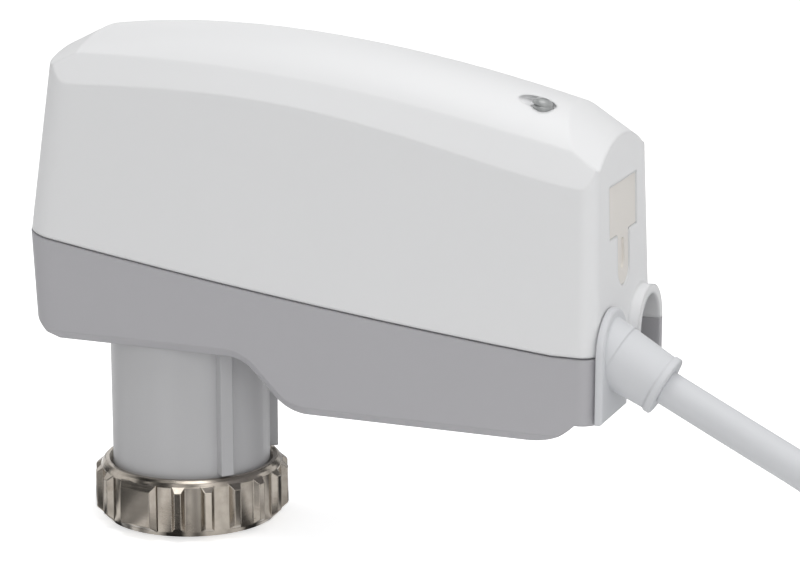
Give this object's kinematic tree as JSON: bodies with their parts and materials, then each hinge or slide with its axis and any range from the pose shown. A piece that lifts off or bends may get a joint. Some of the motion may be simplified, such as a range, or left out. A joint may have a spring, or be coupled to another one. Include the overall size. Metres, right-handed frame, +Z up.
{
  "type": "electric valve actuator",
  "caption": "Wedge-shaped plastic actuator housing on a ribbed union nut, with a geared motor that drives a plunger and a lead from its end.",
  "frame": {"origin": "on the union nut's axis, in the plane of the nut's lower face", "axes": "+Z up along the nut and the spindle, +X along the housing towards the end with the ports, +Y away from the lead's side"},
  "size_m": [0.2162, 0.0751, 0.0957],
  "materials": {
    "cover_plastic": "fine spark-eroded satin",
    "base_plastic": "fine satin",
    "nut_metal": "nickel plated, satin",
    "steel": "zinc plated",
    "spindle_plastic": "plain",
    "gear_plastic": "plain",
    "inner_plastic": "plain",
    "can_metal": "drawn sheet",
    "board_laminate": "solder resist",
    "chip_plastic": "moulded",
    "socket_metal": "tinned sheet",
    "lens_plastic": "smoky clear",
    "ribbon_plastic": "plain",
    "insert_plastic": "moulded",
    "lead_plastic": "soft, satin",
    "tie_plastic": "plain",
    "core_plastic": "plain",
    "ferrule_metal": "tinned",
    "plug_rubber": "soft, matt"
  },
  "bodies": {
    "housing": {"top_cover": "cover_plastic", "base_housing": "base_plastic", "neck_chassis": "base_plastic", "nut_retainer": "steel", "middle_axle": "steel", "thrust_washer": "steel", "gearbox_roof": "inner_plastic", "gearbox_screws": "steel", "motor_screws": "steel", "housing_screws": "steel", "motor_can": "can_metal", "circuit_board": "board_laminate", "board_screws": "steel", "board_parts": "chip_plastic", "service_socket": "socket_metal", "light_source": "lens_plastic", "status_lens": "lens_plastic", "motor_ribbon": "ribbon_plastic", "port_board": "board_laminate", "board_link": "chip_plastic", "lead_socket": "insert_plastic", "spare_socket": "insert_plastic", "cable_boot": "lead_plastic", "cable": "lead_plastic", "cable_coil": "lead_plastic", "coil_tie": "tie_plastic", "cable_tail": "lead_plastic", "cable_cores": "core_plastic", "core_ferrules": "ferrule_metal"},
    "union_nut": {"union_nut": "nut_metal"},
    "output_gear": {"output_gear": "gear_plastic"},
    "spindle": {"spindle": "spindle_plastic"},
    "middle_gear": {"middle_gear": "gear_plastic"},
    "motor_rotor": {"motor_rotor": "steel"},
    "service_plug": {"service_plug": "plug_rubber"}
  },
  "joints": [
    {"name": "union_nut_turn", "type": "hinge", "parent": "housing", "child": "union_nut", "pos_m": [0, 0, 0], "axis": [0, 0, 1], "continuous": true},
    {"name": "output_gear_turn", "type": "hinge", "parent": "housing", "child": "output_gear", "pos_m": [0, 0, 0.045], "axis": [0, 0, 1], "range_deg": [0, 1170]},
    {"name": "spindle_travel", "type": "slide", "parent": "housing", "child": "spindle", "axis": [0, 0, -1], "range_m": [0, 0.0065]},
    {"name": "middle_gear_turn", "type": "hinge", "parent": "housing", "child": "middle_gear", "pos_m": [0.0155, 0, 0.045], "axis": [0, 0, 1], "range_deg": [-4875.01, 0]},
    {"name": "motor_turn", "type": "hinge", "parent": "housing", "child": "motor_rotor", "pos_m": [0.029, 0, 0.045], "axis": [0, 0, 1], "range_deg": [0, 17062.51]},
    {"name": "service_plug_pull", "type": "slide", "parent": "housing", "child": "service_plug", "axis": [0.9996, 0, 0.0279], "range_m": [0, 0.012]}
  ],
  "couplings": [
    {"joint": "spindle_travel", "follows": "output_gear_turn", "m_per_rad": 0.00031831},
    {"joint": "middle_gear_turn", "follows": "output_gear_turn", "ratio": -4.1667},
    {"joint": "motor_turn", "follows": "output_gear_turn", "ratio": 14.583}
  ]
}
